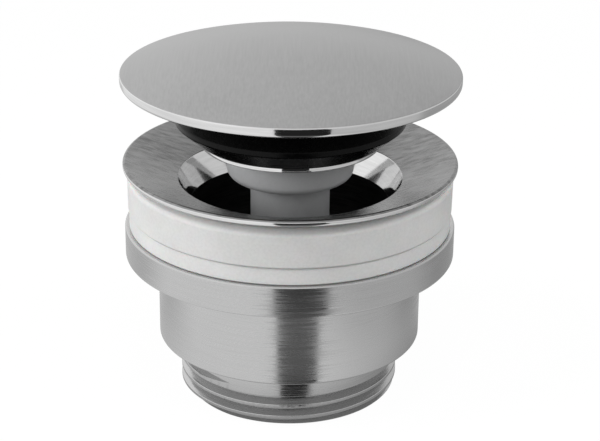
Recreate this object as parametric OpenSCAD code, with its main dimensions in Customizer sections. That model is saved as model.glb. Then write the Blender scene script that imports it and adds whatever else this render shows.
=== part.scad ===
// Pop up basin waste: a mushroom cap on a push mechanism, a dished flange with its threaded tube,
// two clamping gaskets and a lower body with a pipe thread. Millimetres, +Z up.
// The origin is on the axis, at the bottom of the tail. The cap is drawn raised, as when open.

/* [Cap] */
// Radius of the cap
cap_r = 31.66; // [28:0.02:36]
// Height of the polished rim
cap_rim_h = 1.9; // [1.5:0.1:4]
// Rise of the dome above the rim
cap_rise = 5.1; // [4:0.1:7]
// Wall of the pressed cap
cap_t = 1.5; // [1:0.1:1.8]
// Rounding of the rim's lower edge
cap_edge = 0.4; // [0.2:0.05:0.6]
// Height of the rim above the seal's top face
cap_drop = 3; // [2.5:0.1:4]
// Radius of the threaded hub under the cap
cap_hub_r = 13.5; // [12:0.1:15]

/* [Seal] */
// Inset of the seal's lower face from the throat's edge
seal_foot_inset = 3.8; // [3:0.1:5]
// Overhang of the seal's largest radius past the throat's edge
seal_over = 0.5; // [0.3:0.1:1.5]
// Inset of the seal's upper face from its largest radius
seal_top_inset = 2.7; // [1:0.1:4]
// Height from the lower face to the largest radius
seal_taper_h = 3.6; // [3:0.1:4.5]
// Height of the whole seal
seal_h = 7.9; // [7.5:0.1:10]
// Inset of the plate under the seal from the seal's lower face
retainer_inset = 0.4; // [0:0.1:2.5]
// Thickness of the plate under the seal
retainer_t = 0.9; // [0.6:0.1:1.5]

/* [Collar and stem] */
// Radius of the collar
collar_r = 11.95; // [11:0.05:13]
// Height of the collar's wide part
collar_h = 6.7; // [6:0.1:9]
// Rounding of the collar's lower edge
collar_edge = 1.6; // [0.5:0.1:2]
// Radius of the neck that carries the seal
neck_r = 9.55; // [9.2:0.05:10]
// Thickness of the collar's closed end
collar_end_t = 2.8; // [2:0.1:4]
// Radius of the stem
stem_r = 7.5; // [7.3:0.05:7.8]
// Overlap of the collar over the stem when the cap is raised
collar_overlap = 4.5; // [4:0.1:6]
// Thickness of the stem's foot
foot_h = 3; // [2.8:0.1:4]
// Radius of the post that centres the spring
post_r = 1.6; // [1:0.1:1.8]
// Height of the post that centres the spring
post_h = 2; // [1:0.1:3]

/* [Push mechanism] */
// Travel of the cap from raised to fully pressed
travel = 10.6; // [8:0.1:13]
// Rise from fully pressed to latched shut
overtravel = 1.6; // [1:0.1:2.5]
// Turn of the index ring in one full press, in degrees
index_turn = 60; // [45:1:65]
// Radius of the plunger
plunger_r = 4.85; // [4.8:0.05:5]
// Radius of the plunger's threaded end
spigot_r = 4; // [3.5:0.1:4.3]
// Length of the plunger's threaded end
spigot_l = 6.6; // [5:0.1:6.8]
// Radius of the spring's bore in the plunger
spring_bore_r = 2.9; // [2.8:0.05:3.1]
// Radius of the index balls
ball_r = 1.2; // [1.1:0.05:1.25]
// Height of the index ring
index_ring_h = 3.8; // [3.4:0.1:4.2]
// Height of the guide bush above the index ring
bush_h = 3; // [2.5:0.1:3.4]
// Outer radius of the index ring and of the guide bush
bush_r = 6.2; // [6.15:0.05:6.4]
// Wire diameter of the return spring
wire_d = 0.7; // [0.5:0.05:0.8]
// Mean radius of the return spring
spring_r = 2.35; // [2.3:0.01:2.4]
// Turns of the return spring
spring_turns = 11; // [8:1:13]

/* [Flange] */
// Radius of the flange
flange_r = 31.5; // [29:0.1:34]
// Thickness of the flange
flange_t = 1.2; // [1:0.05:2]
// Slope of the dished top, as rise over run
dish_slope = 0.36; // [0.25:0.01:0.42]
// Inset of the throat's upper edge from the tube's outside
throat_inset = 0.3; // [0.2:0.05:0.8]
// Depth of the polished seat in the throat
seat_h = 5.35; // [3:0.05:6]
// Outer radius of the flange's tube
tube_r = 21.5; // [19.5:0.1:22.5]
// Wall of the flange's tube
tube_wall = 2.6; // [2:0.1:3.5]
// Clearance of the tube's end above the socket's floor when fully screwed in
tube_end_gap = 1.1; // [0.5:0.1:3]
// Height of the bridge's lower face above the tube's end
bridge_up = 2; // [1:0.1:4]
// Radius of the bridge's hub
hub_r = 7.5; // [6.5:0.1:8.5]
// Height of the bridge's hub
hub_h = 8; // [7:0.1:9]
// Height of the bridge's arms
arm_h = 5; // [3:0.1:6]
// Width of the bridge's arms
arm_w = 3; // [2:0.1:4]
// Number of arms in the bridge
arm_count = 4; // [3:1:4]

/* [Stem stud] */
// Radius of the stud that fixes the stem to the bridge
stud_r = 4; // [3:0.1:4.5]
// Radius of the stud's moulded-in head
stud_head_r = 5.5; // [5:0.1:6]
// Height of the stud's head
stud_head_h = 1.4; // [1:0.1:1.5]

/* [Gaskets] */
// Inset of the upper gasket from the flange's edge
upper_gasket_inset = 0.8; // [0:0.1:3]
// Height of the upper gasket beside the tube
upper_gasket_h = 4.85; // [3.5:0.05:7]
// Rounding of the upper gasket's upper edge
upper_gasket_edge = 1.7; // [1:0.1:2.5]
// Inset of the lower gasket's lower face from the flange's edge
lower_gasket_inset = 1; // [0.4:0.1:3]
// Inset of the lower gasket's upper face from its lower face
lower_gasket_taper = 0.1; // [0:0.05:0.6]
// Height of the lower gasket
lower_gasket_h = 3.2; // [2:0.1:5]

/* [Lower body] */
// Inset of the clamping ring from the flange's edge
ring_inset = 0.2; // [0:0.1:2]
// Height of the clamping ring
ring_h = 6; // [5:0.1:8]
// Wall of the sleeve below the clamping ring
sleeve_wall = 3.45; // [3:0.05:5]
// Height of the sleeve
sleeve_h = 16.5; // [15.5:0.1:20]
// Rounding of the body's outer edges
body_edge = 0.4; // [0.2:0.1:0.8]
// Wall of the tail under its thread
tail_wall = 2.276; // [1.8:0.001:4]
// Height of the floor of the socket above the sleeve's lower end
socket_floor = 3.2; // [2.5:0.1:4]
// Section diameter of the sealing ring in the socket
o_ring_d = 2.1; // [1.6:0.1:2.6]
// Depth of the sealing ring's groove below the body's upper face
o_ring_down = 2.7; // [2:0.1:3]

/* [Tail thread] */
// Length of the tail
tail_h = 10.7; // [9:0.1:14]
// Crest radius of the thread
thread_r = 20.955; // [20.5:0.005:21.4]
// Depth of the thread
thread_depth = 1.479; // [1:0.01:1.6]
// Pitch of the thread
thread_pitch = 2.309; // [1.8:0.01:2.5]
// Width of the thread's crest
crest_w = 0.55; // [0.3:0.05:0.6]
// Height from the thread's end, at the middle of its groove, to the sleeve
plain_h = 3.4; // [3.3:0.1:4]
// Bearing of the upper end of the thread, in degrees
thread_end_a = 232; // [0:1:359]
// Chamfer at the end of the tail
tail_chamfer = 0.9; // [0.5:0.1:1.4]

/* [Clearances] */
// Radial clearance of pieces that slide or turn on each other
slide_gap = 0.1; // [0.05:0.01:0.1]
// Clearance between pieces that are fixed together
fit_gap = 0.05; // [0.03:0.01:0.1]
// Clearance between the tube and the parts that it passes through
tube_gap = 0.15; // [0.1:0.01:0.3]
// Clearance of the seal above its seat, and of the collar above the stem, when pressed
shut_gap = 0.3; // [0.2:0.05:0.6]
// Clearance of the index balls in their track
track_gap = 0.2; // [0.15:0.05:0.25]

/* [Hidden] */
$fn = 96;
eps = 0.01;

// Heights of the lower body and the gaskets, from the tail up
sleeve_z = tail_h;
socket_z = sleeve_z + socket_floor;
ring_z = sleeve_z + sleeve_h;
body_top = ring_z + ring_h;
seam_z = body_top + lower_gasket_h;
under_z = seam_z + upper_gasket_h;

// Radii that follow the flange's tube
throat_r = tube_r - throat_inset;
tube_bore_r = tube_r - tube_wall;
socket_r = tube_r + tube_gap;
sleeve_r = socket_r + sleeve_wall;
seal_foot_r = throat_r - seal_foot_inset;
seal_r = throat_r + seal_over;
seal_top_r = seal_r - seal_top_inset;
retainer_r = seal_foot_r - retainer_inset;

// Radii that follow the flange's edge
upper_gasket_r = flange_r - upper_gasket_inset;
lower_gasket_r = flange_r - lower_gasket_inset;
lower_gasket_top_r = lower_gasket_r - lower_gasket_taper;
ring_r = flange_r - ring_inset;

// Flange: the underside is a cone that starts at the tube
rim_half = flange_t / 2;
rim_c = [flange_r - rim_half, under_z + (flange_r - rim_half - tube_r) * dish_slope + rim_half];
throat_z = rim_c.y + rim_half - (rim_c.x - throat_r) * dish_slope;
tube_end = socket_z + tube_end_gap;
bridge_z = tube_end + bridge_up;
hub_top = bridge_z + hub_h;

// Cap assembly: its height follows from the seal's contact with the throat's edge
contact_h = seal_taper_h * (throat_r - seal_foot_r) / (seal_r - seal_foot_r);
seal_z = throat_z + travel + shut_gap - contact_h;
retainer_z = seal_z - retainer_t;
collar_z = retainer_z - collar_h;
seal_top = seal_z + seal_h;
stem_top = collar_z + collar_overlap;
chamber_top = stem_top + travel + 2 * shut_gap;
neck_top = chamber_top + collar_end_t;
rim_z = seal_top + cap_drop;
dome_z = rim_z + cap_rim_h;
apex_z = dome_z + cap_rise;
dome_r = (cap_r * cap_r + cap_rise * cap_rise) / (2 * cap_rise);
dome_c = apex_z - dome_r;
carrier_r = neck_r + slide_gap;

// Push mechanism
floor_z = hub_top + foot_h;
bore_r = plunger_r + slide_gap;
index_seat = stem_top - bush_h - index_ring_h - 2 * slide_gap;
ball_z = index_seat + slide_gap + index_ring_h / 2;
track_r = ball_r + track_gap;
pocket_r = track_r + track_gap;
plunger_end = ball_z - pocket_r - 0.9;
plunger_top = chamber_top - fit_gap;
spring_top = plunger_top - 2;
track = [[0, 0], [index_turn, travel], [90, travel - overtravel], [180 - index_turn, travel], [180, 0]];

// Lower body
tail_bore_r = thread_r - thread_depth - tail_wall;
o_ring_z = body_top - o_ring_down;
o_ring_c = tube_r + fit_gap + o_ring_d / 2;
groove_half = o_ring_d / 2 + tube_gap;

// Points of an arc about a centre
function arc(c, r, a0, a1, n = 8) =
    [for (i = [0:n]) let (a = a0 + (a1 - a0) * i / n) c + r * [cos(a), sin(a)]];

// A point at a radius, a bearing and a height
function at(r, a, z) = [r * cos(a), r * sin(a), z];

// A solid through a list of rings of points
module sweep(rings) {
    n = len(rings);
    m = len(rings[0]);
    side = [for (i = [0:n - 2]) for (j = [0:m - 1])
        let (a = i * m + j, b = i * m + (j + 1) % m)
        each [[a, b, b + m], [a, b + m, a + m]]];
    ends = [[for (j = [m - 1:-1:0]) j], [for (j = [0:m - 1]) (n - 1) * m + j]];
    polyhedron(points = [for (r = rings) each r], faces = concat(side, ends), convexity = 10);
}

// A ring with a rectangular section
module tube(r_out, r_in, z0, z1) {
    translate([0, 0, z0])
        difference() {
            cylinder(r = r_out, h = z1 - z0);
            translate([0, 0, -1])
                cylinder(r = r_in, h = z1 - z0 + 2);
        }
}

// Pressed cap: a dome with a short rim
module cap() {
    rim_edge = [cap_r - cap_edge, rim_z + cap_edge];
    edge_a = asin(cap_r / dome_r);
    inner_r = dome_r - cap_t;
    inner_a = asin((cap_r - cap_t) / inner_r);
    color("gainsboro")
        rotate_extrude()
            polygon(concat(
                [[cap_r - cap_t, rim_z]],
                arc(rim_edge, cap_edge, -90, 0, 4),
                arc([0, dome_c], dome_r, 90 - edge_a, 90, 20),
                arc([0, dome_c], inner_r, 90, 90 - inner_a, 20)));
}

// Threaded hub fixed in the cap, which clamps the seal on the collar
module cap_hub() {
    top_r = dome_r - cap_t - fit_gap;
    top_a = asin(cap_hub_r / top_r);
    tip_z = plunger_top + spigot_l + fit_gap;
    color("goldenrod")
        rotate_extrude()
            polygon(concat(
                [[carrier_r, seal_top], [cap_hub_r, seal_top]],
                arc([0, dome_c], top_r, 90 - top_a, 90, 6),
                [[0, tip_z], [spigot_r + fit_gap, tip_z], [spigot_r + fit_gap, neck_top],
                 [carrier_r, neck_top]]));
}

// Rubber seal with a tapered side and a fine ridge above its lower edge
module cap_seal() {
    side_slope = (seal_r - seal_foot_r) / seal_taper_h;
    ridge_z = 1;
    ridge_out = 0.2;
    color("black")
        translate([0, 0, seal_z])
            rotate_extrude()
                polygon([[carrier_r, 0], [seal_foot_r, 0],
                         [seal_foot_r + ridge_z * side_slope, ridge_z],
                         [seal_foot_r + ridge_z * side_slope + ridge_out, ridge_z + ridge_out],
                         [seal_r, seal_taper_h], [seal_r, seal_taper_h + 1],
                         [seal_top_r, seal_h], [carrier_r, seal_h]]);
}

// Thin plate under the seal
module seal_retainer() {
    color("silver")
        tube(retainer_r, carrier_r, retainer_z, seal_z);
}

// Moving sleeve that slides over the stem
module collar() {
    color("gray")
        rotate_extrude()
            polygon(concat(
                [[stem_r + slide_gap, collar_z]],
                arc([collar_r - collar_edge, collar_z + collar_edge], collar_edge, -90, 0),
                [[collar_r, retainer_z], [neck_r, retainer_z], [neck_r, neck_top],
                 [spigot_r + fit_gap, neck_top], [spigot_r + fit_gap, chamber_top],
                 [stem_r + slide_gap, chamber_top]]));
}

// One leg of the index track, from one corner to the next, as bearing and rise
module track_leg(from, to, steps) {
    step = to - from;
    run = [step.x * PI / 180 * plunger_r, step.y];
    across = [-run.y, run.x] / norm(run);
    sides = 10;
    sweep([for (i = [0:steps])
        let (p = from + step * i / steps)
        [for (j = [0:sides - 1])
            let (u = track_r * cos(360 * j / sides), v = track_r * sin(360 * j / sides))
            at(plunger_r + u, p.x + v * across.x / plunger_r * 180 / PI, ball_z + p.y + v * across.y)]]);
}

// Plunger with its closed index track, the spring's bore and the threaded end
module plunger() {
    color("darkkhaki")
        difference() {
            union() {
                translate([0, 0, plunger_end])
                    cylinder(r = plunger_r, h = plunger_top - plunger_end);
                translate([0, 0, plunger_top - eps])
                    cylinder(r = spigot_r, h = spigot_l + eps);
            }
            translate([0, 0, plunger_end - 1])
                cylinder(r = spring_bore_r, h = spring_top - plunger_end + 1);
            for (half = [0, 180]) {
                for (i = [0:3]) {
                    rotate(half)
                        track_leg(track[i], track[i + 1], i % 3 == 0 ? 7 : 4);
                    translate([0, 0, ball_z + track[i].y])
                        rotate([0, 90, half + track[i].x])
                            translate([0, 0, plunger_r - pocket_r])
                                cylinder(r = pocket_r, h = 2 * pocket_r, $fn = 32);
                }
            }
        }
}

// Ring that the plunger's track turns at each press
module index_ring() {
    color("whitesmoke")
        difference() {
            tube(bush_r - slide_gap, bore_r, index_seat + slide_gap, index_seat + slide_gap + index_ring_h);
            translate([0, 0, ball_z])
                rotate([0, 90, 0])
                    cylinder(r = ball_r + fit_gap, h = 4 * bush_r, center = true, $fn = 32);
        }
}

// Pair of balls held by the index ring
module index_balls() {
    color("silver")
        for (side = [-1, 1])
            translate([side * plunger_r, 0, ball_z])
                sphere(r = ball_r, $fn = 32);
}

// Bush that guides the plunger and keeps the index ring down
module guide_bush() {
    color("whitesmoke")
        tube(bush_r - fit_gap, bore_r, stem_top - bush_h, stem_top);
}

// Helical spring from the stem's floor to the end of the plunger's bore
module return_spring() {
    sides = 6;
    steps = 12;
    low = floor_z + fit_gap + wire_d / 2;
    high = spring_top - fit_gap - wire_d / 2;
    color("lightgray")
        sweep([for (i = [0:spring_turns * steps])
            let (a = 360 * i / steps, z = low + (high - low) * i / (spring_turns * steps))
            [for (j = [0:sides - 1])
                at(spring_r + wire_d / 2 * cos(360 * j / sides), a, z + wire_d / 2 * sin(360 * j / sides))]]);
}

// Fixed guide barrel with its foot on the bridge
module stem() {
    head_z = hub_top + (foot_h - stud_head_h) / 2;
    color("dimgray")
        difference() {
            translate([0, 0, hub_top])
                cylinder(r = stem_r, h = stem_top - hub_top);
            translate([0, 0, index_seat])
                cylinder(r = bush_r, h = stem_top - index_seat + 1);
            tube(bore_r, post_r, floor_z, floor_z + post_h);
            translate([0, 0, floor_z + post_h - eps])
                cylinder(r = bore_r, h = index_seat - floor_z - post_h + 1);
            translate([0, 0, head_z - fit_gap])
                cylinder(r = stud_head_r + fit_gap, h = stud_head_h + 2 * fit_gap);
            translate([0, 0, hub_top - 1])
                cylinder(r = stud_r + fit_gap, h = head_z - hub_top + 1);
        }
}

// Stud with a moulded-in head that screws into the bridge
module stem_stud() {
    head_z = hub_top + (foot_h - stud_head_h) / 2;
    color("goldenrod")
        union() {
            translate([0, 0, bridge_z])
                cylinder(r = stud_r, h = head_z - bridge_z + eps);
            translate([0, 0, head_z])
                cylinder(r = stud_head_r, h = stud_head_h);
        }
}

// Dished flange with the throat, the tube and the bridge inside it
module flange() {
    arm_l = (tube_r + tube_bore_r) / 2;
    color("silver")
        union() {
            rotate_extrude()
                polygon(concat(
                    [[tube_bore_r, tube_end], [tube_r, tube_end], [tube_r, under_z]],
                    arc(rim_c, rim_half, -90, 90, 10),
                    [[throat_r, throat_z], [tube_bore_r, throat_z - seat_h]]));
            difference() {
                union() {
                    translate([0, 0, bridge_z])
                        cylinder(r = hub_r, h = hub_h);
                    for (i = [0:arm_count - 1])
                        rotate(45 + 360 * i / arm_count)
                            translate([0, -arm_w / 2, bridge_z])
                                cube([arm_l, arm_w, arm_h]);
                }
                translate([0, 0, bridge_z - 1])
                    cylinder(r = stud_r + fit_gap, h = hub_h + 2);
            }
        }
}

// Upper gasket, between the flange and the basin
module upper_gasket() {
    top_r = upper_gasket_r - upper_gasket_edge;
    inner_r = tube_r + tube_gap;
    top_z = under_z + (top_r - tube_r) * dish_slope - fit_gap;
    color("white")
        rotate_extrude()
            polygon(concat(
                [[inner_r, seam_z]],
                arc([upper_gasket_r - body_edge, seam_z + body_edge], body_edge, -90, 0, 4),
                arc([top_r, top_z - upper_gasket_edge], upper_gasket_edge, 0, 90),
                [[inner_r, under_z + (inner_r - tube_r) * dish_slope - fit_gap]]));
}

// Lower gasket, between the basin and the lower body
module lower_gasket() {
    inner_r = tube_r + tube_gap;
    color("white")
        rotate_extrude()
            polygon([[inner_r, body_top], [lower_gasket_r, body_top], [lower_gasket_top_r, seam_z],
                     [inner_r, seam_z]]);
}

// Helical groove of the tail's thread, which runs out at its upper end
module thread_groove() {
    steps = 40;
    end_z = tail_h - plain_h;
    turns = (end_z + thread_pitch) / thread_pitch;
    count = ceil(turns * steps);
    runout = 4;
    over = 0.3;
    outer_half = (thread_pitch - crest_w) / 2;
    flank = tan(27.5);
    sweep([for (i = [0:count])
        let (a = thread_end_a - 360 * (count - i) / steps,
             z = end_z - thread_pitch * (count - i) / steps,
             depth = thread_depth * min(1, (count - i + 0.5) / runout),
             half = outer_half * (depth + over) / (thread_depth + over),
             root_half = max(0.1, half - depth * flank))
        [at(thread_r - depth, a, z - root_half), at(thread_r + over, a, z - half - over * flank),
         at(thread_r + over, a, z + half + over * flank), at(thread_r - depth, a, z + root_half)]]);
}

// Clamping ring, sleeve and threaded tail, turned in one piece
module lower_body() {
    color("silver")
        difference() {
            rotate_extrude()
                polygon(concat(
                    [[tail_bore_r, 0], [thread_r - tail_chamfer, 0], [thread_r, tail_chamfer],
                     [thread_r, sleeve_z]],
                    arc([sleeve_r - body_edge, sleeve_z + body_edge], body_edge, -90, 0, 4),
                    [[sleeve_r, ring_z]],
                    arc([ring_r - body_edge, ring_z + body_edge], body_edge, -90, 0, 4),
                    arc([ring_r - body_edge, body_top - body_edge], body_edge, 0, 90, 4),
                    [[socket_r, body_top], [socket_r, o_ring_z + groove_half],
                     [o_ring_c + groove_half, o_ring_z + groove_half],
                     [o_ring_c + groove_half, o_ring_z - groove_half],
                     [socket_r, o_ring_z - groove_half], [socket_r, socket_z],
                     [tail_bore_r, socket_z - (socket_r - tail_bore_r) / 2]]));
            thread_groove();
        }
}

// Sealing ring between the tube and the lower body
module tube_seal() {
    color("black")
        translate([0, 0, o_ring_z])
            rotate_extrude()
                translate([o_ring_c, 0])
                    circle(d = o_ring_d, $fn = 32);
}

cap();
cap_hub();
cap_seal();
seal_retainer();
collar();
plunger();
index_ring();
index_balls();
guide_bush();
return_spring();
stem();
stem_stud();
flange();
upper_gasket();
lower_gasket();
lower_body();
tube_seal();
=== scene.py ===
import math
import bpy
from mathutils import Euler, Matrix, Vector


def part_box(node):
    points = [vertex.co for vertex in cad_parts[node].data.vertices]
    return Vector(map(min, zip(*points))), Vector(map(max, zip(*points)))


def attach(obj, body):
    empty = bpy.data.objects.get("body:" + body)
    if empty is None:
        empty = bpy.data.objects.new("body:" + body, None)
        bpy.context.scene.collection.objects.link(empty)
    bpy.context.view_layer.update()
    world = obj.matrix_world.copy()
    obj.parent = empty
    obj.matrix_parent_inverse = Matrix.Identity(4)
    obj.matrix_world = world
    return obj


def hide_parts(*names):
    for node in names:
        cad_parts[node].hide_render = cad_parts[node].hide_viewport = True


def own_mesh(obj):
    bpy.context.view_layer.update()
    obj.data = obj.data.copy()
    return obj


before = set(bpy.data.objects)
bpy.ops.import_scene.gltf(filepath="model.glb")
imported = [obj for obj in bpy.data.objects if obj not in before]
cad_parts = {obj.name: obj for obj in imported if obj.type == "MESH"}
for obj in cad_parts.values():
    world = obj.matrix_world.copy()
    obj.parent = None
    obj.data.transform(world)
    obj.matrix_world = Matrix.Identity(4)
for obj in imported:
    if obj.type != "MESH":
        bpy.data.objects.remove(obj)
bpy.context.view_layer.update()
mm = 0.001
weld = {"turned": 0.002 * mm, "cut": 0.01 * mm, "sliver": 0.0005 * mm}  # points closer than this are merged
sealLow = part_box("cap_seal")[0].z / mm  # heights of the cap's pieces count from the seal's lower face
print("frame loaded:", len(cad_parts), "nodes")


def roundedProfile(points, closed):
    # points are (radius, height) or (radius, height, fillet) in mm
    flat = [Vector(p[:2]) for p in points]
    out = []
    for i, p in enumerate(points):
        fillet = p[2] if len(p) > 2 else 0
        if not fillet or (not closed and i in (0, len(points) - 1)):
            out.append(flat[i])
            continue
        back = flat[i - 1] - flat[i]
        ahead = flat[(i + 1) % len(flat)] - flat[i]
        room = 0.49 * min(back.length, ahead.length)  # a fillet takes less than half of either side
        back.normalize()
        ahead.normalize()
        half = back.angle(ahead) / 2
        reach = min(fillet / math.tan(half), room)
        radius = reach * math.tan(half)
        centre = flat[i] + (back + ahead).normalized() * (radius / math.sin(half))
        first = flat[i] + back * reach - centre
        last = flat[i] + ahead * reach - centre
        sweep = first.angle_signed(last)
        cuts = max(3, round(abs(math.degrees(sweep)) / 15))  # a facet for every 15 degrees
        for k in range(cuts + 1):
            a = math.atan2(first.y, first.x) - sweep * k / cuts
            out.append(centre + radius * Vector((math.cos(a), math.sin(a))))
    return out


def arcPoints(centre, radius, start, end, cuts):
    turn = [math.radians(start + (end - start) * i / cuts) for i in range(cuts + 1)]
    return [(centre[0] + radius * math.cos(a), centre[1] + radius * math.sin(a)) for a in turn]


def fromSeal(points):
    return [(p[0], sealLow + p[1], *p[2:]) for p in points]  # heights counted from the seal's lower face


def selectOnly(piece):
    bpy.ops.object.select_all(action="DESELECT")
    bpy.context.view_layer.objects.active = piece
    piece.select_set(True)


def drawProfile(name, points, closed, bearing=0):
    # a small plane shrinks to one vertex, which is then extruded along the outline
    c, s = math.cos(math.radians(bearing)), math.sin(math.radians(bearing))
    place = [Vector((p[0] * c, p[0] * s, p[1])) * mm for p in points]
    bpy.ops.object.select_all(action="DESELECT")
    bpy.ops.mesh.primitive_plane_add(size=mm, location=place[0])
    piece = bpy.context.object
    piece.name = name
    piece.data.name = name
    bpy.ops.object.transform_apply(location=True, rotation=True, scale=True)
    bpy.ops.object.mode_set(mode="EDIT")
    bpy.ops.mesh.select_mode(type="VERT")
    bpy.ops.mesh.select_all(action="SELECT")
    bpy.ops.mesh.merge(type="CENTER")
    for a, b in zip(place, place[1:]):
        bpy.ops.mesh.extrude_vertices_move(TRANSFORM_OT_translate={"value": b - a})
    if closed:
        bpy.ops.mesh.select_all(action="DESELECT")
        bpy.ops.object.mode_set(mode="OBJECT")
        piece.data.vertices[0].select = True
        piece.data.vertices[len(place) - 1].select = True
        bpy.ops.object.mode_set(mode="EDIT")
        bpy.ops.mesh.edge_face_add()
    bpy.ops.mesh.select_all(action="SELECT")
    return piece


def turnPiece(name, points, closed=True, around=144):
    piece = drawProfile(name, roundedProfile(points, closed), closed)
    bpy.ops.mesh.spin(steps=around, angle=2 * math.pi, center=(0, 0, 0), axis=(0, 0, 1))
    bpy.ops.mesh.select_all(action="SELECT")
    bpy.ops.mesh.remove_doubles(threshold=weld["turned"])
    bpy.ops.mesh.normals_make_consistent(inside=False)
    bpy.ops.object.mode_set(mode="OBJECT")
    return piece


def combine(piece, tool, operation):
    cut = piece.modifiers.new("combine", "BOOLEAN")
    cut.operation = operation
    cut.solver = "EXACT"
    cut.object = tool
    selectOnly(piece)
    bpy.ops.object.modifier_apply(modifier=cut.name)
    bpy.data.objects.remove(tool, do_unlink=True)
    bpy.ops.object.mode_set(mode="EDIT")  # the cut leaves slivers, which are merged away
    bpy.ops.mesh.select_all(action="SELECT")
    bpy.ops.mesh.remove_doubles(threshold=weld["cut"])
    bpy.ops.mesh.dissolve_degenerate(threshold=weld["sliver"])
    bpy.ops.object.mode_set(mode="OBJECT")


def helixSweep(name, section, start, turns, pitch, perTurn):
    # a closed section at its own bearing, carried up a right-handed helix
    piece = drawProfile(name, section, True, bearing=start)
    bpy.ops.object.mode_set(mode="OBJECT")
    screw = piece.modifiers.new("helix", "SCREW")
    screw.axis = "Z"
    screw.angle = 2 * math.pi * turns
    screw.screw_offset = pitch * turns * mm
    screw.steps = screw.render_steps = round(perTurn * turns)
    screw.iterations = 1
    selectOnly(piece)
    bpy.ops.object.modifier_apply(modifier=screw.name)
    return piece


def closeEnds(piece):
    selectOnly(piece)
    bpy.ops.object.mode_set(mode="EDIT")
    bpy.ops.mesh.select_all(action="SELECT")
    bpy.ops.mesh.fill_holes(sides=0)
    bpy.ops.mesh.select_all(action="SELECT")
    bpy.ops.mesh.normals_make_consistent(inside=False)
    bpy.ops.object.mode_set(mode="OBJECT")


def threadTool(name, thread):
    crest, depth, pitch = thread["crest"], thread["depth"], thread["pitch"]
    peak = thread["crestRound"]  # radius of the corners of the crest left between the turns
    corner = (pitch - thread["crestFlat"]) / 2
    shares = (1, 0.75, 0.5, 0.3, 0.14)  # how far round that corner each point lies
    bend = [math.radians((90 - thread["flank"]) * k) for k in shares]
    arc = [(crest - peak + peak * math.cos(a), corner - peak * math.sin(a)) for a in bend]
    root = arc[0][1] - (arc[0][0] - crest + depth) * math.tan(math.radians(thread["flank"]))
    low = thread["endHeight"] - pitch * thread["turns"]
    outside = (crest + 0.3, arc[-1][1] + 0.01)  # the tool stands clear of the wall
    side = [(crest - depth, root)] + arc + [outside]
    section = [(r, low + h) for r, h in side] + [(r, low - h) for r, h in reversed(side)]
    start = thread["endBearing"] - 360 * thread["turns"]
    tool = helixSweep(name, section, start, thread["turns"], pitch, thread["perTurn"])
    count = len(section)
    rings = len(tool.data.vertices) // count
    for k in range(rings):  # the groove climbs out of the wall at its upper end
        back = 360 * k / thread["perTurn"]
        if back > thread["fade"]:
            break
        lift = depth * 1.05 * (1 - back / thread["fade"])  # a little more than the depth, to be clear of it
        for v in tool.data.vertices[(rings - 1 - k) * count:(rings - k) * count]:
            r = math.hypot(v.co.x, v.co.y)
            grow = (r + lift * mm) / r
            v.co.x *= grow
            v.co.y *= grow
    closeEnds(tool)
    return tool


def linear(code):
    parts = [int(code[i:i + 2], 16) / 255 for i in (1, 3, 5)]
    return [p / 12.92 if p <= 0.04045 else ((p + 0.055) / 1.055) ** 2.4 for p in parts] + [1]


def addNode(tree, kind, settings=None, inputs=None):
    node = tree.nodes.new(kind)
    for key, value in (settings or {}).items():
        setattr(node, key, value)
    for key, value in (inputs or {}).items():
        if isinstance(value, bpy.types.NodeSocket):
            tree.links.new(value, node.inputs[key])
        else:
            node.inputs[key].default_value = value
    return node


def newFinish(name, fixed):
    finish = bpy.data.materials.new(name)
    finish.use_nodes = True
    shader = finish.node_tree.nodes["Principled BSDF"]
    for key, value in fixed.items():
        shader.inputs[key].default_value = value
    return finish, finish.node_tree, shader


def dressShader(tree, shader, pattern, look, relief):
    # one pattern drives the colour, the gloss and the relief of a finish; relief is its height in mm
    tint = addNode(tree, "ShaderNodeMix", {"data_type": "RGBA"},
                   {0: pattern, 6: linear(look["dark"]), 7: linear(look["light"])})
    gloss = addNode(tree, "ShaderNodeMapRange", None, {0: pattern, 3: look["rough"][0], 4: look["rough"][1]})
    raised = addNode(tree, "ShaderNodeBump", None,
                     {"Strength": look["bump"], "Distance": relief * mm, "Height": pattern})
    tree.links.new(tint.outputs[2], shader.inputs["Base Color"])
    tree.links.new(gloss.outputs[0], shader.inputs["Roughness"])
    tree.links.new(raised.outputs[0], shader.inputs["Normal"])


def brushedFinish(name, grain):
    # nickel plate brushed in one direction: fine parallel scratches that soften what it mirrors
    finish, tree, shader = newFinish(name, {"Metallic": 1.0})
    where = addNode(tree, "ShaderNodeTexCoord")
    long, wide = 1 / (grain["length"] * mm), 1 / (grain["width"] * mm)
    scale = (long, wide, wide) if grain["along"] == "X" else (wide, long, wide)
    fine = addNode(tree, "ShaderNodeMapping", None, {"Vector": where.outputs["Object"], "Scale": scale})
    scratch = addNode(tree, "ShaderNodeTexNoise", None, {"Vector": fine.outputs[0], "Scale": 1.0, "Detail": 3.0})
    broad = addNode(tree, "ShaderNodeTexNoise", None,
                    {"Vector": where.outputs["Object"], "Scale": 1 / (grain["patch"] * mm), "Detail": 2.0})
    mixed = addNode(tree, "ShaderNodeMix", None,
                    {0: grain["patchShare"], 2: scratch.outputs[0], 3: broad.outputs[0]})
    spread = addNode(tree, "ShaderNodeMapRange", None, {0: mixed.outputs[0], 1: 0.3, 2: 0.7})
    dressShader(tree, shader, spread.outputs[0], grain, 0.004)
    return finish


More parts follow.
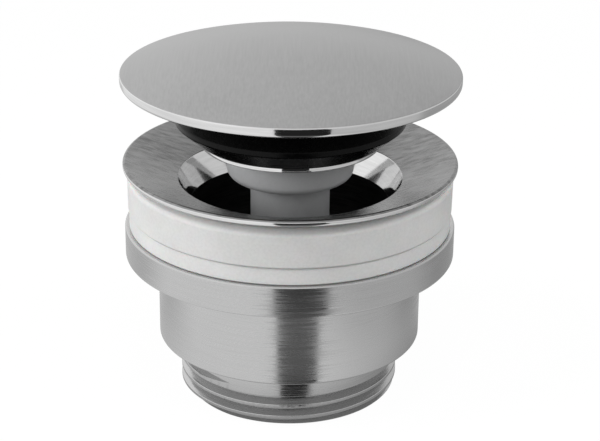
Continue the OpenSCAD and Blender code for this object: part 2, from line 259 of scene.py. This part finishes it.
def turnedFinish(name, lathe):
    # lathe work: fine rings around the axis that streak the reflections sideways, drawn coarser than real
    finish, tree, shader = newFinish(name, {"Metallic": 1.0})
    where = addNode(tree, "ShaderNodeTexCoord")
    axes = addNode(tree, "ShaderNodeSeparateXYZ", None, {0: where.outputs["Object"]})
    flat = addNode(tree, "ShaderNodeCombineXYZ", None, {0: axes.outputs[0], 1: axes.outputs[1]})
    radius = addNode(tree, "ShaderNodeVectorMath", {"operation": "LENGTH"}, {0: flat.outputs[0]})
    around = addNode(tree, "ShaderNodeVectorMath", {"operation": "NORMALIZE"}, {0: flat.outputs[0]})
    bearing = addNode(tree, "ShaderNodeSeparateXYZ", None, {0: around.outputs[0]})
    pitch = 1 / (lathe["line"] * mm)
    turns = [addNode(tree, "ShaderNodeMath", {"operation": "MULTIPLY"}, {0: s, 1: k}).outputs[0]
             for s, k in ((bearing.outputs[0], lathe["drift"]), (bearing.outputs[1], lathe["drift"]),
                          (axes.outputs[2], pitch), (radius.outputs["Value"], pitch))]
    spot = addNode(tree, "ShaderNodeCombineXYZ", None, {0: turns[0], 1: turns[1], 2: turns[2]})
    rings = addNode(tree, "ShaderNodeTexNoise", {"noise_dimensions": "4D"},
                    {"Vector": spot.outputs[0], "W": turns[3], "Scale": 1.0, "Detail": 2.0})
    spread = addNode(tree, "ShaderNodeMapRange", None, {0: rings.outputs[0], 1: 0.3, 2: 0.7})
    dressShader(tree, shader, spread.outputs[0], lathe, 0.003)
    return finish


def mouldedFinish(name, skin, fixed):
    # moulded plastic or rubber: an even skin with slow cloudiness and a faint grain, drawn coarser than real
    finish, tree, shader = newFinish(name, fixed)
    where = addNode(tree, "ShaderNodeTexCoord")
    grain = addNode(tree, "ShaderNodeTexNoise", None,
                    {"Vector": where.outputs["Object"], "Scale": 1 / (skin["grain"] * mm), "Detail": 2.0})
    cloud = addNode(tree, "ShaderNodeTexNoise", None,
                    {"Vector": where.outputs["Object"], "Scale": 1 / (skin["cloud"] * mm), "Detail": 1.0})
    mixed = addNode(tree, "ShaderNodeMix", None, {0: 0.5, 2: grain.outputs[0], 3: cloud.outputs[0]})
    spread = addNode(tree, "ShaderNodeMapRange", None, {0: mixed.outputs[0], 1: 0.35, 2: 0.65})
    dressShader(tree, shader, spread.outputs[0], skin, 0.01)
    return finish


# brushed nickel, satin grey with scratches 0.35 mm apart, drawn coarser than real so that they show
brushedNickel = brushedFinish("brushedNickel", {
    "along": "Y", "width": 0.35, "length": 14, "patch": 16, "patchShare": 0.35,
    "dark": "#A3A3A3", "light": "#B3B3B3", "rough": (0.3, 0.4), "bump": 0.12})
# the dish's nickel is brushed across, with scratches 0.9 mm apart, drawn coarser so that they show; its colour is
# darker than the cap's as painted shade for the cap that hangs over it
dishNickelPaintedShade = brushedFinish("dishNickelPaintedShade", {
    "along": "X", "width": 0.9, "length": 18, "patch": 12, "patchShare": 0.3,
    "dark": "#646464", "light": "#A2A2A2", "rough": (0.22, 0.34), "bump": 0.12})
# polished nickel, a near mirror with a soft bloom
polishedNickel = turnedFinish("polishedNickel", {
    "line": 0.5, "drift": 3, "dark": "#D2D2D2", "light": "#DFDFDF", "rough": (0.05, 0.1), "bump": 0.03})
# turned nickel, rings left by the lathe, drawn 0.25 mm apart so that they show as streaks in dark reflections
turnedNickel = turnedFinish("turnedNickel", {
    "line": 0.25, "drift": 3, "dark": "#BEBEBE", "light": "#C7C7C7", "rough": (0.12, 0.35), "bump": 0.025})
# unpolished nickel in the bore under the seat, left dull, its colour darkened as painted shade for the dark deep
# inside of the tube
boreNickelPaintedShade = turnedFinish("boreNickelPaintedShade", {
    "line": 0.3, "drift": 4, "dark": "#2D2D2D", "light": "#444444", "rough": (0.4, 0.55), "bump": 0.1})
# turned brass, warm and bright
turnedBrass = turnedFinish("turnedBrass", {
    "line": 0.25, "drift": 4, "dark": "#B99A57", "light": "#D2B26C", "rough": (0.2, 0.32), "bump": 0.1})
# polished steel of the plate and the balls, a clear mirror
polishedSteel = turnedFinish("polishedSteel", {
    "line": 0.4, "drift": 3, "dark": "#D8D8D8", "light": "#E6E6E6", "rough": (0.04, 0.08), "bump": 0.02})
# drawn spring wire, a dull grey gleam
springSteel = turnedFinish("springSteel", {
    "line": 0.15, "drift": 8, "dark": "#8E8E90", "light": "#B0B0B2", "rough": (0.25, 0.38), "bump": 0.08})
# white silicone, satin and faintly milky
whiteSilicone = mouldedFinish("whiteSilicone", {
    "grain": 0.5, "cloud": 7, "dark": "#E4E4E3", "light": "#EEEEED", "rough": (0.42, 0.55), "bump": 0.1},
    {"Subsurface Weight": 0.12, "Subsurface Scale": 0.001, "IOR": 1.41})
# nitrile rubber, near black with a moulded gloss
blackRubber = mouldedFinish("blackRubber", {
    "grain": 0.6, "cloud": 8, "dark": "#060606", "light": "#0C0C0C", "rough": (0.2, 0.32), "bump": 0.04},
    {"IOR": 1.52, "Specular IOR Level": 0.12})
# grey acetal, moulded matt, a pale grey that the cap's shade darkens
greyPlastic = mouldedFinish("greyPlastic", {
    "grain": 0.4, "cloud": 6, "dark": "#E4E5E6", "light": "#EBECED", "rough": (0.42, 0.52), "bump": 0.06},
    {"IOR": 1.48})
# white acetal, moulded matt, a soft warm white
whitePlastic = mouldedFinish("whitePlastic", {
    "grain": 0.4, "cloud": 5, "dark": "#DEDED9", "light": "#E8E8E3", "rough": (0.36, 0.48), "bump": 0.06},
    {"IOR": 1.48})
print("finishes mixed")


def finishPiece(piece, body, nodes, finishes, zone=None, angle=30):
    for f in finishes:
        piece.data.materials.append(f)
    for face in piece.data.polygons:
        centre = face.center / mm
        face.material_index = zone(math.hypot(centre.x, centre.y), centre.z, face.normal.z) if zone else 0
    selectOnly(piece)
    bpy.ops.object.shade_smooth_by_angle(angle=math.radians(angle))
    even = piece.modifiers.new("evenShade", "WEIGHTED_NORMAL")
    even.keep_sharp = True
    bpy.ops.object.modifier_apply(modifier=even.name)
    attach(piece, body)
    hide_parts(*nodes)
    print("made", piece.name, len(piece.data.polygons), "faces")
    return piece


# pressed cap
cap = {"radius": 31.66, "rimLow": sealLow + 10.9, "rimHigh": sealLow + 12.8, "rise": 5.1, "wall": 1.5,
       "highRound": 0.45, "lowRound": 0.9, "innerRound": 0.3, "domeCuts": 32, "brushedTilt": 0.6}
cap["domeRadius"] = (cap["radius"] ** 2 + cap["rise"] ** 2) / (2 * cap["rise"])
cap["domeCentre"] = cap["rimHigh"] + cap["rise"] - cap["domeRadius"]
inner = cap["radius"] - cap["wall"]
innerDome = cap["domeRadius"] - cap["wall"]
outerTilt = math.degrees(math.asin(cap["radius"] / cap["domeRadius"]))
innerTilt = math.degrees(math.asin(inner / innerDome))
domeOut = arcPoints((0, cap["domeCentre"]), cap["domeRadius"], 90, 90 - outerTilt, cap["domeCuts"])
domeIn = arcPoints((0, cap["domeCentre"]), innerDome, 90 - innerTilt, 90, cap["domeCuts"])
capRim = [(cap["radius"], cap["rimHigh"], cap["highRound"]), (cap["radius"], cap["rimLow"], cap["lowRound"]),
          (inner, cap["rimLow"], cap["innerRound"])]
capPiece = turnPiece("capShell", domeOut[:-1] + capRim + domeIn, closed=False, around=192)
finishPiece(capPiece, "cap", ["cap"], [brushedNickel, polishedNickel],
            lambda r, z, up: 0 if up > cap["brushedTilt"] or r < inner - 0.5 else 1)  # only the rim is polished

# hub inside the cap
hub = {"radius": 13.5, "low": 7.9, "round": 0.4, "neck": 9.65, "neckTop": 10.9, "bore": 4.05, "boreTop": 14.7,
       "gap": 0.05}
hubDome = innerDome - hub["gap"]
hubTilt = math.degrees(math.asin(hub["radius"] / hubDome))
hubInside = fromSeal([
    (0, hub["boreTop"]), (hub["bore"], hub["boreTop"]), (hub["bore"], hub["neckTop"]),
    (hub["neck"], hub["neckTop"]), (hub["neck"], hub["low"]), (hub["radius"], hub["low"], hub["round"])])
hubTop = arcPoints((0, cap["domeCentre"]), hubDome, 90 - hubTilt, 90, 10)
hubPiece = turnPiece("capHub", hubInside + hubTop, closed=False)
finishPiece(hubPiece, "cap", ["cap_hub"], [turnedBrass])

# rubber seal with its fine ridge
seal = {"bore": 9.65, "high": 7.9, "foot": (17.4, 0, 0.35), "ridge": [(18.594, 1, 0.08), (18.794, 1.2, 0.1)],
        "lip": [(21.7, 3.6, 0.5), (21.7, 4.6, 0.5)], "shoulder": (19, 7.9, 0.4)}
sealPiece = turnPiece("capSeal", fromSeal([
    (seal["bore"], 0), seal["foot"], *seal["ridge"], *seal["lip"], seal["shoulder"],
    (seal["bore"], seal["high"])]), around=192)
finishPiece(sealPiece, "cap", ["cap_seal"], [blackRubber])

# bright plate under the seal
plate = {"bore": 9.65, "low": -0.9, "lowRim": (17, -0.9, 0.12), "highRim": (16.85, 0, 0.05)}
platePiece = turnPiece("sealPlate", fromSeal([
    (plate["bore"], plate["low"]), plate["lowRim"], plate["highRim"], (plate["bore"], 0)]), around=192)
finishPiece(platePiece, "cap", ["seal_retainer"], [polishedSteel])

# collar that slides on the stem
collar = {"bore": 7.6, "roof": 8.1, "radius": 11.95, "low": -7.6, "high": -0.9, "neck": 9.55, "neckTop": 10.9,
          "spigot": 4.05, "boreRound": 0.25, "footRound": 1.6, "topRound": 0.15, "neckRound": 0.2}
collarPiece = turnPiece("pushCollar", fromSeal([
    (collar["bore"], collar["low"], collar["boreRound"]), (collar["radius"], collar["low"], collar["footRound"]),
    (collar["radius"], collar["high"], collar["topRound"]), (collar["neck"], collar["high"]),
    (collar["neck"], collar["neckTop"], collar["neckRound"]), (collar["spigot"], collar["neckTop"]),
    (collar["spigot"], collar["roof"]), (collar["bore"], collar["roof"])]))
finishPiece(collarPiece, "cap", ["collar"], [greyPlastic])

# fixed stem with its post for the spring
stem = {"radius": 7.5, "low": 25, "high": sealLow - 3.1, "cup": 6.2, "cupFloor": sealLow - 10.1, "bore": 4.95,
        "boreFloor": 28, "post": 1.6, "postHigh": 30, "studBore": 4.05, "headBore": 5.55, "headLow": 25.75,
        "headHigh": 27.25, "round": 0.3, "cupRound": 0.2}
stemPiece = turnPiece("stemBarrel", [
    (0, stem["headHigh"]), (stem["headBore"], stem["headHigh"]), (stem["headBore"], stem["headLow"]),
    (stem["studBore"], stem["headLow"]), (stem["studBore"], stem["low"]),
    (stem["radius"], stem["low"], stem["round"]), (stem["radius"], stem["high"], stem["round"]),
    (stem["cup"], stem["high"], stem["cupRound"]), (stem["cup"], stem["cupFloor"]),
    (stem["bore"], stem["cupFloor"]), (stem["bore"], stem["boreFloor"]), (stem["post"], stem["boreFloor"]),
    (stem["post"], stem["postHigh"], stem["round"]), (0, stem["postHigh"])], closed=False)
finishPiece(stemPiece, "flange", ["stem"], [greyPlastic])

# dished flange with its tube
flange = {"rimCentre": (30.9, 45.234), "rimRound": 0.6, "tube": 21.5, "bore": 18.9, "end": 15, "under": 41.25,
          "throat": (21.2, 42.342, 0.35), "seat": (18.9, 36.992, 0.4), "boreRound": 0.3, "endRound": 0.5,
          "dishTilt": 0.55, "boreEdge": 19.3, "tubeEdge": 21.6, "polishDepth": 4}
tubeThread = {"crest": 21.5, "depth": 0.75, "pitch": 1.5, "crestFlat": 0.05, "crestRound": 0.2, "flank": 30,
              "endHeight": 34.6, "endBearing": 250, "turns": 14.2, "perTurn": 96, "fade": 40}
flangeTube = [(flange["bore"], flange["end"], flange["boreRound"]),
              (flange["tube"], flange["end"], flange["endRound"]), (flange["tube"], flange["under"])]
flangeRim = arcPoints(flange["rimCentre"], flange["rimRound"], -90, 90, 18)
flangePiece = turnPiece("flangeDish", flangeTube + flangeRim + [flange["throat"], flange["seat"]], around=192)
combine(flangePiece, threadTool("tubeThreadTool", tubeThread), "DIFFERENCE")


def flangeZone(r, z, up):
    # 0 is the brushed dish, darkened with painted shade, 1 the polished rim and throat, 2 the turned tube and 3 the
    # dull bore, darkened with painted shade
    if up > flange["dishTilt"] and r > flange["throat"][0] + (0.3 if up > 0.95 else -0.1):
        return 0
    if r < flange["boreEdge"] and z < flange["seat"][1] + 0.2:
        return 3
    inThroat = z > flange["under"] - flange["polishDepth"] and r < flange["tubeEdge"]
    return 1 if inThroat or r > flange["rimCentre"][0] - 0.2 else 2


finishPiece(flangePiece, "flange", ["flange"],
            [dishNickelPaintedShade, polishedNickel, turnedNickel, boreNickelPaintedShade], flangeZone)

# bridge across the tube, which carries the stem
bridge = {"low": 17, "hub": 7.5, "hubHigh": 25, "bore": 4.05, "lowRound": 0.5, "highRound": 0.3,
          "boreLowRound": 0.3, "boreHighRound": 0.2, "arms": 4, "armTurn": 45, "armHigh": 22, "armWide": 3,
          "armFrom": 5.6, "armTo": 20.2, "armRound": 0.7}
bridgePiece = turnPiece("flangeBridge", [
    (bridge["bore"], bridge["low"], bridge["boreLowRound"]), (bridge["hub"], bridge["low"], bridge["lowRound"]),
    (bridge["hub"], bridge["hubHigh"], bridge["highRound"]),
    (bridge["bore"], bridge["hubHigh"], bridge["boreHighRound"])], around=96)
reach = (bridge["armFrom"] + bridge["armTo"]) / 2
for k in range(bridge["arms"]):
    turn = math.radians(bridge["armTurn"] + 360 / bridge["arms"] * k)
    middle = (reach * math.cos(turn) * mm, reach * math.sin(turn) * mm, (bridge["low"] + bridge["armHigh"]) / 2 * mm)
    bpy.ops.object.select_all(action="DESELECT")
    bpy.ops.mesh.primitive_cube_add(size=1, location=middle, rotation=(0, 0, turn))
    arm = bpy.context.object
    arm.scale = ((bridge["armTo"] - bridge["armFrom"]) * mm, bridge["armWide"] * mm,
                 (bridge["armHigh"] - bridge["low"]) * mm)
    bpy.ops.object.transform_apply(location=True, rotation=True, scale=True)
    soften = arm.modifiers.new("soften", "BEVEL")
    soften.width = bridge["armRound"] * mm
    soften.segments = 4
    bpy.ops.object.modifier_apply(modifier=soften.name)
    combine(bridgePiece, arm, "UNION")
# the bridge deep in the tube takes the bore's finish, darkened as painted shade
finishPiece(bridgePiece, "flange", ["flange"], [boreNickelPaintedShade])

# gaskets on either side of the basin
upper = {"bore": 21.65, "seam": 36.4, "flat": 29.4, "edge": (30.62, 36.46, 0.3), "shoulder": (29, 42.2),
         "shoulderRound": 1.7, "boreTop": 41.254}  # the foot of its wall is eased so that the seam shows
upperPiece = turnPiece("upperGasket", [(upper["bore"], upper["seam"]), (upper["flat"], upper["seam"]), upper["edge"]]
                       + arcPoints(upper["shoulder"], upper["shoulderRound"], 0, 90, 12)
                       + [(upper["bore"], upper["boreTop"])], around=192)
finishPiece(upperPiece, "flange", ["upper_gasket"], [whiteSilicone])
lower = {"bore": 21.65, "low": 33.2, "high": 36.4, "lowEdge": (30.5, 33.2, 0.25), "highEdge": (30.4, 36.4, 0.3)}
lowerPiece = turnPiece("lowerGasket", [(lower["bore"], lower["low"]), lower["lowEdge"], lower["highEdge"],
                       (lower["bore"], lower["high"])], around=192)
finishPiece(lowerPiece, "lower_gasket", ["lower_gasket"], [whiteSilicone])

# lower body with the pipe thread on its tail
lowerBody = {"bore": 17.2, "boreTop": 11.675, "boreRound": 0.3, "tail": 20.955, "tailFoot": 20.055, "chamfer": 0.9,
             "tailTop": 10.7, "sleeve": 25.1, "sleeveTop": 27.2, "ring": 31.3, "ringTop": 33.2, "round": 0.4,
             "socket": 21.65, "socketFloor": 13.9, "groove": 23.8, "grooveLow": 29.3, "grooveHigh": 31.7}
tailThread = {"crest": 20.955, "depth": 1.479, "pitch": 2.309, "crestFlat": 0.37, "crestRound": 0.15, "flank": 27.5,
              "endHeight": 7.351, "endBearing": 240, "turns": 4.2, "perTurn": 128, "fade": 24}
bodyOutside = [
    (lowerBody["bore"], 0, lowerBody["boreRound"]), (lowerBody["tailFoot"], 0),
    (lowerBody["tail"], lowerBody["chamfer"]), (lowerBody["tail"], lowerBody["tailTop"]),
    (lowerBody["sleeve"], lowerBody["tailTop"], lowerBody["round"]), (lowerBody["sleeve"], lowerBody["sleeveTop"]),
    (lowerBody["ring"], lowerBody["sleeveTop"], lowerBody["round"]),
    (lowerBody["ring"], lowerBody["ringTop"], lowerBody["round"])]
bodyInside = [
    (lowerBody["socket"], lowerBody["ringTop"], lowerBody["round"]), (lowerBody["socket"], lowerBody["grooveHigh"]),
    (lowerBody["groove"], lowerBody["grooveHigh"]), (lowerBody["groove"], lowerBody["grooveLow"]),
    (lowerBody["socket"], lowerBody["grooveLow"]), (lowerBody["socket"], lowerBody["socketFloor"]),
    (lowerBody["bore"], lowerBody["boreTop"])]
bodyPiece = turnPiece("lowerBody", bodyOutside + bodyInside, around=192)
combine(bodyPiece, threadTool("tailThreadTool", tailThread), "DIFFERENCE")
finishPiece(bodyPiece, "lower_body", ["lower_body"], [turnedNickel])

# return spring, swept at one fixed length; the real spring shortens as the cap is pressed
spring = {"low": 28.4, "high": sealLow + 5.65, "mean": 2.35, "wire": 0.35, "wireSides": 12, "turns": 11,
          "perTurn": 36, "keep": 0.6222}
wireRing = [(spring["mean"] + spring["wire"] * math.cos(a), spring["low"] + spring["wire"] * math.sin(a))
            for a in [2 * math.pi * i / spring["wireSides"] for i in range(spring["wireSides"])]]
springPitch = (spring["high"] - spring["low"]) / spring["turns"]
springPiece = helixSweep("returnSpring", wireRing, 0, spring["turns"], springPitch, spring["perTurn"])
closeEnds(springPiece)
finishPiece(springPiece, "flange", ["return_spring"], [springSteel], angle=40)
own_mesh(springPiece)

# pieces of the mechanism that keep their solids
kept = {"plunger": turnedBrass, "stem_stud": turnedBrass, "index_ring": whitePlastic, "guide_bush": whitePlastic,
        "index_balls": polishedSteel, "tube_seal": blackRubber}
for node, finish in kept.items():
    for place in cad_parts[node].material_slots:
        place.material = finish
print("mechanism finished")

# studio air: white to the camera, a low fill on matt pieces, and brighter on the left in reflections
studio = {"fill": 0.2, "leftSky": 1.08, "rightSky": 0.74}
world = bpy.data.worlds.new("paleStudio")
bpy.context.scene.world = world
world.use_nodes = True
tree = world.node_tree
path = addNode(tree, "ShaderNodeLightPath")
where = addNode(tree, "ShaderNodeTexCoord")
axes = addNode(tree, "ShaderNodeSeparateXYZ", None, {0: where.outputs["Generated"]})
sky = addNode(tree, "ShaderNodeMapRange", None,
              {0: axes.outputs[0], 1: -0.5, 2: 0.5, 3: studio["leftSky"], 4: studio["rightSky"]})
plain = addNode(tree, "ShaderNodeMath", {"operation": "MAXIMUM"},
                {0: path.outputs["Is Camera Ray"], 1: path.outputs["Is Transmission Ray"]})
dim = addNode(tree, "ShaderNodeMix", None, {0: plain.outputs[0], 2: studio["fill"], 3: 1.0})
level = addNode(tree, "ShaderNodeMix", None,
                {0: path.outputs["Is Glossy Ray"], 2: dim.outputs[0], 3: sky.outputs[0]})
back = tree.nodes["Background"]
back.inputs["Color"].default_value = (1, 1, 1, 1)
tree.links.new(level.outputs[0], back.inputs["Strength"])

# paper floor: ranges in mm over which its reflection fades, and the level it fades to; the fade around the object's
# foot is a painted shadow that shows only in reflections
sheet = {"size": 6, "gap": 0.05, "matt": 0.38, "glowShare": 0.92, "glow": 1.06, "right": (10, 70, 0.62),
         "back": (-25, 25, 0.67), "near": (20, 48, 0.45), "nearShift": 7, "farLeft": (-140, -70)}
bpy.ops.object.select_all(action="DESELECT")
bpy.ops.mesh.primitive_plane_add(size=sheet["size"], location=(0, 0, -sheet["gap"] * mm))
floor = bpy.context.object
floor.name = "studioFloor"
bpy.ops.object.transform_apply(location=True, rotation=True, scale=True)
paper = bpy.data.materials.new("whitePaper")
paper.use_nodes = True
tree = paper.node_tree
tree.nodes.remove(tree.nodes["Principled BSDF"])
path = addNode(tree, "ShaderNodeLightPath")
where = addNode(tree, "ShaderNodeTexCoord")
axes = addNode(tree, "ShaderNodeSeparateXYZ", None, {0: where.outputs["Object"]})
smooth = {"interpolation_type": "SMOOTHSTEP"}
sideways = addNode(tree, "ShaderNodeMapRange", smooth, {
    0: axes.outputs[0], 1: sheet["right"][0] * mm, 2: sheet["right"][1] * mm, 3: 1.0, 4: sheet["right"][2]})
behind = addNode(tree, "ShaderNodeMapRange", smooth, {
    0: axes.outputs[1], 1: sheet["back"][0] * mm, 2: sheet["back"][1] * mm, 3: 1.0, 4: sheet["back"][2]})
aside = addNode(tree, "ShaderNodeMath", {"operation": "SUBTRACT"}, {0: axes.outputs[0], 1: sheet["nearShift"] * mm})
flat = addNode(tree, "ShaderNodeCombineXYZ", None, {0: aside.outputs[0], 1: axes.outputs[1]})
radius = addNode(tree, "ShaderNodeVectorMath", {"operation": "LENGTH"}, {0: flat.outputs[0]})
# painted shadow: the floor's glow, as the metal reflects it, is darker in a ring around the object's foot
near = addNode(tree, "ShaderNodeMapRange", smooth, {
    0: radius.outputs["Value"], 1: sheet["near"][0] * mm, 2: sheet["near"][1] * mm, 3: sheet["near"][2], 4: 1.0})
farLeft = addNode(tree, "ShaderNodeMapRange", smooth, {
    0: axes.outputs[0], 1: sheet["farLeft"][0] * mm, 2: sheet["farLeft"][1] * mm, 3: 1.0, 4: 0.0})
rear = addNode(tree, "ShaderNodeMath", {"operation": "MAXIMUM"}, {0: behind.outputs[0], 1: farLeft.outputs[0]})
sides = addNode(tree, "ShaderNodeMath", {"operation": "MULTIPLY"}, {0: sideways.outputs[0], 1: rear.outputs[0]})
falloff = addNode(tree, "ShaderNodeMath", {"operation": "MULTIPLY"}, {0: sides.outputs[0], 1: near.outputs[0]})
bright = addNode(tree, "ShaderNodeMix", None,
                 {0: path.outputs["Is Glossy Ray"], 2: sheet["glow"], 3: falloff.outputs[0]})
seen = addNode(tree, "ShaderNodeMath", {"operation": "MAXIMUM"},
               {0: path.outputs["Is Camera Ray"], 1: path.outputs["Is Glossy Ray"]})
shown = addNode(tree, "ShaderNodeMath", {"operation": "MAXIMUM"},
                {0: seen.outputs[0], 1: path.outputs["Is Transmission Ray"]})
share = addNode(tree, "ShaderNodeMath", {"operation": "MULTIPLY"}, {0: shown.outputs[0], 1: sheet["glowShare"]})
matt = addNode(tree, "ShaderNodeBsdfDiffuse", None, {"Color": (sheet["matt"], sheet["matt"], sheet["matt"], 1)})
glow = addNode(tree, "ShaderNodeEmission", None, {"Color": (1, 1, 1, 1), "Strength": bright.outputs[0]})
both = addNode(tree, "ShaderNodeMixShader", None, {0: share.outputs[0], 1: matt.outputs[0], 2: glow.outputs[0]})
tree.links.new(both.outputs[0], tree.nodes["Material Output"].inputs["Surface"])
floor.data.materials.append(paper)


def reflectorCard(name, corners, grey):
    # a card that only shows in reflections
    bpy.ops.object.select_all(action="DESELECT")
    bpy.ops.mesh.primitive_plane_add(size=mm)
    card = bpy.context.object
    card.name = name
    for v, corner in zip(card.data.vertices, corners):
        v.co = Vector(corner) * mm
    flat = bpy.data.materials.new(name)
    flat.use_nodes = True
    tree = flat.node_tree
    tree.nodes.remove(tree.nodes["Principled BSDF"])
    glow = addNode(tree, "ShaderNodeEmission", None, {"Color": (grey, grey, grey, 1), "Strength": 1.0})
    tree.links.new(glow.outputs[0], tree.nodes["Material Output"].inputs["Surface"])
    card.data.materials.append(flat)
    card.visible_camera = card.visible_diffuse = card.visible_shadow = False
    card.visible_transmission = card.visible_volume_scatter = False


# the dark strip that runs up the front of the metal: where its sides start and head, and the grey of each stretch
strip = {"left": (-2.4, -27.9, -0.174, -0.985), "right": (6.4, -27.3, 0.445, -0.896), "height": 0.4,
         "bands": [(0, 19, 0.03), (19, 58, 0.16), (58, 84, 0.09), (84, 420, 0.02)]}
for k, (start, end, grey) in enumerate(strip["bands"]):
    ends = [(side[0] + side[2] * far, side[1] + side[3] * far, strip["height"])
            for far in (start, end) for side in (strip["left"], strip["right"])]
    reflectorCard(f"darkStrip{k}", ends, grey)
upright = {"left": -80, "right": 200, "front": -470, "high": 190, "grey": 0.02}
reflectorCard("darkUpright", [(x, upright["front"], z) for z in (0, upright["high"])
                              for x in (upright["left"], upright["right"])], upright["grey"])


def softLamp(name, place, size, power):
    bpy.ops.object.select_all(action="DESELECT")
    bpy.ops.object.light_add(type="AREA", location=Vector(place) * mm)
    lamp = bpy.context.object
    lamp.name = name
    lamp.data.size = size * mm
    lamp.data.energy = power
    aim = Vector((0, 0, 40 * mm)) - lamp.location  # at the gaskets' height
    lamp.rotation_euler = aim.to_track_quat("-Z", "Y").to_euler()
    lamp.visible_glossy = False


# place and size in mm, power in W
lamps = {"keyLeft": ((-520, -200, 190), 320, 1.15), "fillRight": ((450, -250, 320), 420, 0.42),
         "frontHigh": ((0, -240, 610), 140, 0.95), "leftHigh": ((-330, -150, 560), 200, 1.75),
         "rightHigh": ((330, -150, 560), 200, 1.2)}
for name, (place, size, power) in lamps.items():
    softLamp(name, place, size, power)

view = {"place": (1.93, -323.74, 168.08), "pitch": 22.66, "roll": 0.6, "lens": 110.32, "sensor": 36, "clip": 10}
upTilt = Euler((math.radians(90 - view["pitch"]), 0, 0)).to_matrix()
lookTurn = upTilt @ Matrix.Rotation(math.radians(view["roll"]), 3, "Z")
bpy.ops.object.camera_add(location=Vector(view["place"]) * mm, rotation=lookTurn.to_euler())
camera = bpy.context.object
camera.data.lens = view["lens"]
camera.data.sensor_width = view["sensor"]
camera.data.sensor_fit = "HORIZONTAL"
camera.data.clip_start = view["clip"] * mm
bpy.context.scene.camera = camera
bpy.context.scene.view_settings.view_transform = "Standard"
print("studio set")
